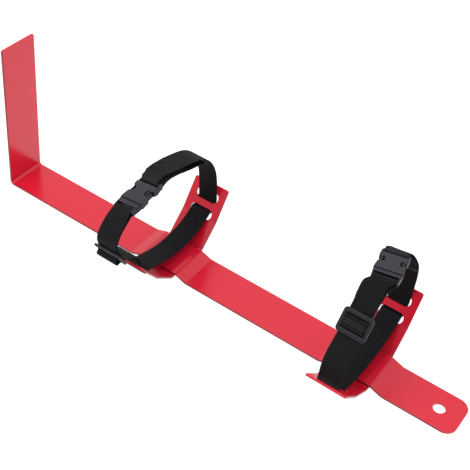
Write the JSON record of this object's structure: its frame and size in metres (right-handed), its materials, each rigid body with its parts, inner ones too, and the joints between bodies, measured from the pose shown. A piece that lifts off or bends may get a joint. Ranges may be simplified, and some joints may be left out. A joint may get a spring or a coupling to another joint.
{
  "type": "gas cylinder bracket",
  "caption": "Flat steel wall bar with a bent-up foot, a screw hole and flared slotted cradles that hold webbing straps with side-release buckles and adjusting sliders.",
  "frame": {"origin": "centre of the screw hole on the bar's back face", "axes": "+X along the bar from the foot to the screw hole, +Z away from the wall towards the cylinder, +Y across the bar"},
  "size_m": [0.6, 0.1959, 0.19],
  "materials": {
    "red_paint": "gloss",
    "black_webbing": "woven matt",
    "grey_plastic": "semi-gloss"
  },
  "bodies": {
    "bracket": {"back_bar": "red_paint", "lower_cradle": "red_paint", "upper_cradle": "red_paint", "lower_webbing": "black_webbing", "upper_webbing": "black_webbing", "lower_buckle_socket": "grey_plastic", "upper_buckle_socket": "grey_plastic"},
    "lower_plug": {"lower_buckle_plug": "grey_plastic"},
    "lower_slider": {"lower_strap_slider": "grey_plastic"},
    "upper_plug": {"upper_buckle_plug": "grey_plastic"},
    "upper_slider": {"upper_strap_slider": "grey_plastic"}
  },
  "joints": [
    {"name": "lower_buckle_release", "type": "slide", "parent": "bracket", "child": "lower_plug", "axis": [-0.0698, -0.9645, -0.2548], "range_m": [0, 0.02], "deforming": ["lower_webbing"]},
    {"name": "lower_slider_adjust", "type": "slide", "parent": "lower_plug", "child": "lower_slider", "axis": [0, -0.5519, 0.8339], "range_m": [-0.003, 0.005]},
    {"name": "upper_buckle_release", "type": "slide", "parent": "bracket", "child": "upper_plug", "axis": [0.2079, -0.9751, 0.0767], "range_m": [0, 0.02], "deforming": ["upper_webbing"]},
    {"name": "upper_slider_adjust", "type": "slide", "parent": "upper_plug", "child": "upper_slider", "axis": [0, 0.6626, 0.749], "range_m": [-0.005, 0.01]}
  ]
}
